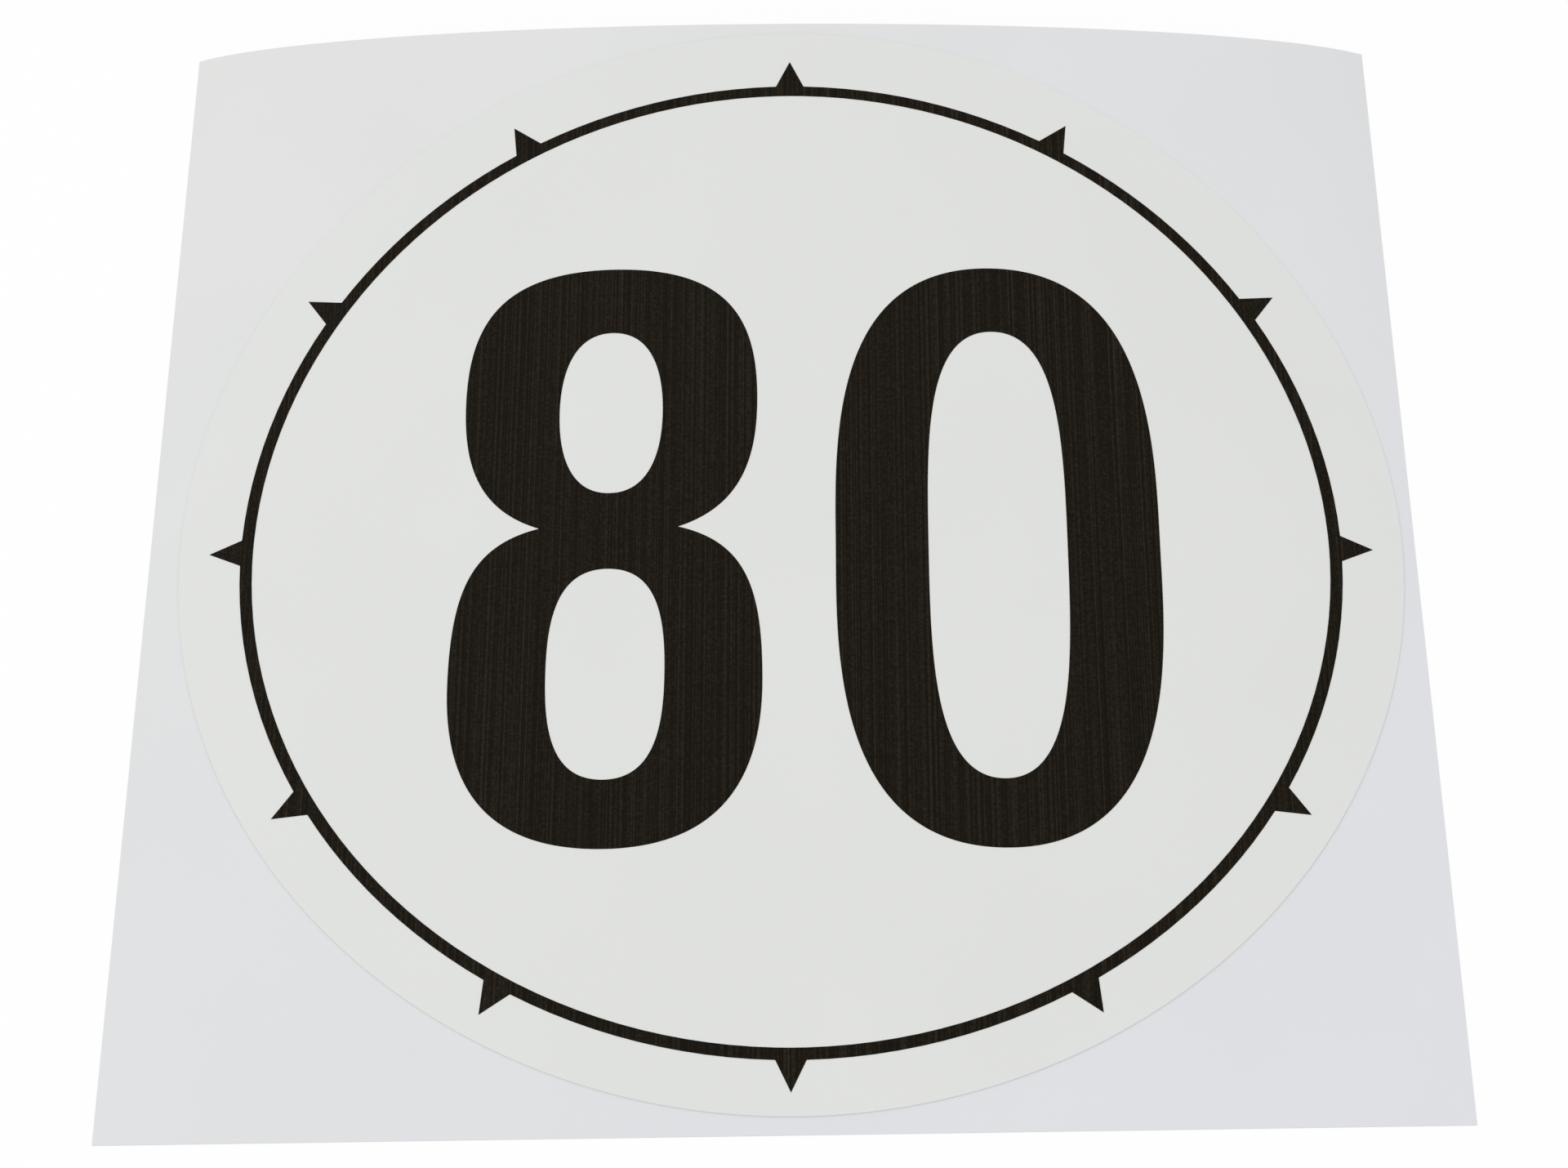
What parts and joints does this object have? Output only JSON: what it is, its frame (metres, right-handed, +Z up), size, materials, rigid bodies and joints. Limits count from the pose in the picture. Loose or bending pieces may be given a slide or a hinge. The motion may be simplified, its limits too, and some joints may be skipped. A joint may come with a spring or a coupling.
{
  "type": "round vehicle sign sticker on release liner",
  "caption": "Round white self-adhesive vehicle sign printed with a studded ring and a plain number, still on its square release liner, lying with one edge arched up.",
  "frame": {"origin": "on the table under the middle of the liner", "axes": "+Z up through the layers, +X to the right of the upright number, +Y towards the top of the number, where the sheet arches up"},
  "size_m": [0.156, 0.1548, 0.0073],
  "materials": {
    "liner_paper": "smooth silicone-coated, slightly bluish white, soft gloss",
    "white_film": "white vinyl film, satin",
    "black_print": "printed black ink, satin, fine lengthwise streaks"
  },
  "bodies": {
    "root": {"release_liner": "liner_paper", "face_film": "white_film", "stud_ring_print": "black_print", "digit_eight_print": "black_print", "digit_zero_print": "black_print"}
  },
  "joints": []
}
